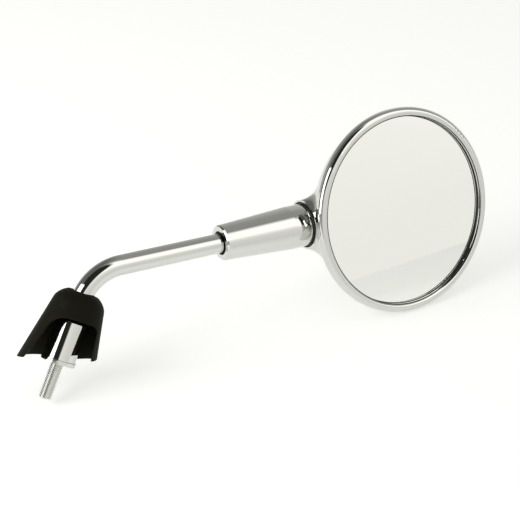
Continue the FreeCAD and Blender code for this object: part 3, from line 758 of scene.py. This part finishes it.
class SCOOTER_OT_stage(bpy.types.Operator):
    """Set the pale floor, the soft studio light and the camera"""
    bl_idname = "scooter.stage"
    bl_label = "Stage"

    def execute(self, context):
        right = CAMERA_RIGHT.normalized()
        toward = (CAMERA_TOWARD - right * CAMERA_TOWARD.dot(right)).normalized()
        up = toward.cross(right)
        rise = up * math.cos(FLOOR_PITCH) + toward * math.sin(FLOOR_PITCH)
        away = rise.cross(right)
        lowest = min(rise.dot(vert.co) for item in NODES.values() for vert in item.data.vertices)
        middle = sum(CAD_BOX, Vector()) / 2
        ground = middle + rise * (lowest - rise.dot(middle))
        floor_frame = self.frame_of(right, away, rise, ground)
        self.floor(floor_frame)
        self.lamp(floor_frame)
        self.room(right, away, rise)
        self.camera(self.frame_of(right, up, toward, CAMERA_PLACE))
        context.scene.view_settings.view_transform = "Standard"
        return {"FINISHED"}

    def frame_of(self, first, second, third, origin):
        turn = Matrix((first, second, third)).transposed().to_4x4()
        return Matrix.Translation(origin) @ turn

    def camera(self, place):
        lens = bpy.data.cameras.new("photo_camera")
        lens.lens = CAMERA_LENS
        lens.sensor_width = CAMERA_SENSOR
        lens.clip_start = 0.01
        eye = bpy.data.objects.new("photo_camera", lens)
        eye.matrix_world = place
        bpy.context.scene.collection.objects.link(eye)
        bpy.context.scene.camera = eye

    def floor(self, place):
        """A pale table top that the camera sees as white apart from the shadows. It ends in
        a straight edge beyond the glass, which shows as a faint line there. Its glow to bright
        metal is painted light, painted dimmer towards that edge as a painted fall-off of light.
        From below it is clear, so that the part can be seen from there."""
        span = 3.0
        edge_away = 0.41
        near_glow, far_glow = 0.45, 0.28
        camera_lift = 0.47
        outward = Vector((0.848, -0.530, 0.0))
        along = Vector((0.530, 0.848, 0.0))
        head = place.inverted() @ HEAD_CENTRE
        edge = Vector((head.x, head.y, 0.0)) + outward * edge_away
        inward = outward * -2 * span
        ends = [edge - along * span, edge + along * span]
        corners = ends + [end + inward for end in reversed(ends)]
        mesh = bpy.data.meshes.new("floor")
        mesh.from_pydata([place @ corner for corner in corners], [], [(0, 1, 2, 3)])
        floor = bpy.data.objects.new("floor", mesh)
        bpy.context.scene.collection.objects.link(floor)
        material = blank_material("pale_floor")
        tree = material.node_tree
        colour = opaque(bpy.context.scene.mirror_colours.floor)
        path = node(tree, "ShaderNodeLightPath").outputs
        spot = node(tree, "ShaderNodeNewGeometry").outputs
        reach = node(tree, "ShaderNodeVectorMath", {
            0: spot["Position"], 1: place.to_3x3() @ outward}, operation="DOT_PRODUCT").outputs["Value"]
        rim = (place @ edge).dot(place.to_3x3() @ outward)
        # Painted fall-off of light: the glow that bright metal sees fades towards the far edge.
        painted_falloff = node(tree, "ShaderNodeMapRange", {
            "Value": reach, "From Min": rim - edge_away, "From Max": rim - 0.6 * edge_away,
            "To Min": near_glow, "To Max": far_glow}).outputs["Result"]
        to_metal = node(tree, "ShaderNodeMath", {
            0: path["Is Glossy Ray"], 1: painted_falloff}, operation="MULTIPLY")
        lift = node(tree, "ShaderNodeMath", {
            0: path["Is Camera Ray"], 1: camera_lift, 2: to_metal.outputs[0]},
            operation="MULTIPLY_ADD")
        paper = node(tree, "ShaderNodeBsdfDiffuse", {"Color": colour})
        glow = node(tree, "ShaderNodeEmission", {"Color": colour, "Strength": lift.outputs[0]})
        lit = node(tree, "ShaderNodeAddShader", {0: paper.outputs[0], 1: glow.outputs[0]})
        below = node(tree, "ShaderNodeMath", {
            0: spot["Backfacing"], 1: path["Is Camera Ray"]}, operation="MULTIPLY")
        clear = node(tree, "ShaderNodeBsdfTransparent")
        shown = node(tree, "ShaderNodeMixShader", {
            0: below.outputs[0], 1: lit.outputs[0], 2: clear.outputs[0]})
        mesh.materials.append(surface(material, shown))

    def lamp(self, place):
        """One large soft lamp on the left, in front of the mirror and above it."""
        light = bpy.data.lights.new("key", "AREA")
        light.size = 1.2
        light.energy = 12.0
        lamp = bpy.data.objects.new("key", light)
        spot = Vector((-1.22, -0.66, 0.80))
        aim = (place.to_3x3() @ -spot).to_track_quat("-Z", "Y").to_matrix().to_4x4()
        lamp.matrix_world = Matrix.Translation(place @ spot) @ aim
        bpy.context.scene.collection.objects.link(lamp)

    def room(self, right, away, rise):
        """White to the camera, an even fill to matt surfaces, and to bright metal a studio
        with a bright screen on the right, a dim far wall and a dark corner over the camera."""
        world = bpy.data.worlds.new("studio")
        bpy.context.scene.world = world
        world.use_nodes = True
        tree = world.node_tree
        tree.nodes.clear()
        way = node(tree, "ShaderNodeTexCoord").outputs["Generated"]

        def towards(axis):
            part = node(tree, "ShaderNodeVectorMath", {0: way, 1: axis}, operation="DOT_PRODUCT")
            return part.outputs["Value"]

        def ramp(stops):
            """Brightness from the front's horizon at 0, over the top, to the far horizon at 1."""
            item = node(tree, "ShaderNodeValToRGB", {0: share.outputs[0]})
            while len(item.color_ramp.elements) < len(stops):
                item.color_ramp.elements.new(1.0)
            for stop, (spot, level) in zip(item.color_ramp.elements, stops):
                stop.position = spot
                stop.color = (level, level, level, 1.0)
            return item.outputs["Color"]

        def mix(factor, first, second):
            both = node(tree, "ShaderNodeMix", {0: factor, 6: first, 7: second}, data_type="RGBA")
            return both.outputs[2]

        turn = node(tree, "ShaderNodeMath", {0: towards(rise), 1: towards(-away)}, operation="ARCTAN2")
        share = node(tree, "ShaderNodeMath", {0: turn.outputs[0], 1: math.pi}, operation="DIVIDE")
        right_wall = ramp((
            (0.0, 0.88), (0.12, 0.93), (0.20, 1.10), (0.28, 1.5), (0.47, 1.5), (0.54, 0.35),
            (0.70, 0.38), (0.85, 0.65), (1.0, 0.80)))
        left_wall = ramp(((0.0, 0.50), (0.20, 0.16), (0.75, 0.16), (1.0, 0.55)))
        sideways = node(tree, "ShaderNodeMapRange", {
            "Value": towards(right), "From Min": -0.30, "From Max": 0.25},
            interpolation_type="SMOOTHSTEP")
        walls = mix(sideways.outputs["Result"], left_wall, right_wall)
        corner = (right * -0.12 - away * 0.48 + rise * 0.87).normalized()
        corner_outer, corner_inner = math.radians(35.0), math.radians(27.0)
        corner_colour = (0.025, 0.024, 0.021)
        paint_tint = (1.0, 0.99, 0.955)
        even_fill = (0.50, 0.50, 0.50)
        white = (1.0, 1.0, 1.0)
        dark = node(tree, "ShaderNodeMapRange", {
            "Value": towards(corner), "From Min": math.cos(corner_outer),
            "From Max": math.cos(corner_inner)}, interpolation_type="SMOOTHSTEP")
        studio = mix(dark.outputs["Result"], walls, opaque(corner_colour))
        warm = node(tree, "ShaderNodeMix", {0: 1.0, 6: studio, 7: opaque(paint_tint)},
                    data_type="RGBA", blend_type="MULTIPLY").outputs[2]
        path = node(tree, "ShaderNodeLightPath").outputs
        fill = mix(path["Is Glossy Ray"], opaque(even_fill), warm)
        seen = mix(path["Is Camera Ray"], fill, opaque(white))
        light = node(tree, "ShaderNodeBackground", {"Color": seen, "Strength": 1.0})
        node(tree, "ShaderNodeOutputWorld", {"Surface": light.outputs[0]})


class SCOOTER_PT_pieces(bpy.types.Panel):
    """Sizes, colours and pieces of the mirror"""
    bl_idname = "SCOOTER_PT_pieces"
    bl_label = "Scooter mirror"
    bl_space_type = "VIEW_3D"
    bl_region_type = "UI"
    bl_category = "Mirror"

    def draw(self, context):
        scene = context.scene
        for group in (scene.mirror_stem, scene.mirror_clamp, scene.mirror_colours):
            box = self.layout.box()
            for name in group.__annotations__:
                box.prop(group, name)
        for operator in PIECES:
            self.layout.operator(operator.bl_idname)


GROUPS = {"mirror_stem": StemSizes, "mirror_clamp": ClampSizes, "mirror_colours": FinishColours}
PIECES = (
    SCOOTER_OT_stage,
    SCOOTER_OT_threaded_stem,
    SCOOTER_OT_rubber_boot,
    SCOOTER_OT_chrome_arm,
    SCOOTER_OT_fasteners,
    SCOOTER_OT_mirror_head,
)


def register():
    for item in (*GROUPS.values(), *PIECES, SCOOTER_PT_pieces):
        bpy.utils.register_class(item)
    for name, group in GROUPS.items():
        setattr(bpy.types.Scene, name, bpy.props.PointerProperty(type=group))


def unregister():
    for name in GROUPS:
        delattr(bpy.types.Scene, name)
    for item in (SCOOTER_PT_pieces, *reversed(PIECES), *reversed(GROUPS.values())):
        bpy.utils.unregister_class(item)


def main():
    register()
    bpy.ops.scooter.stage()
    bpy.ops.scooter.threaded_stem()
    bpy.ops.scooter.rubber_boot()
    bpy.ops.scooter.chrome_arm()
    bpy.ops.scooter.fasteners()
    bpy.ops.scooter.mirror_head()


if __name__ == "__main__":
    main()
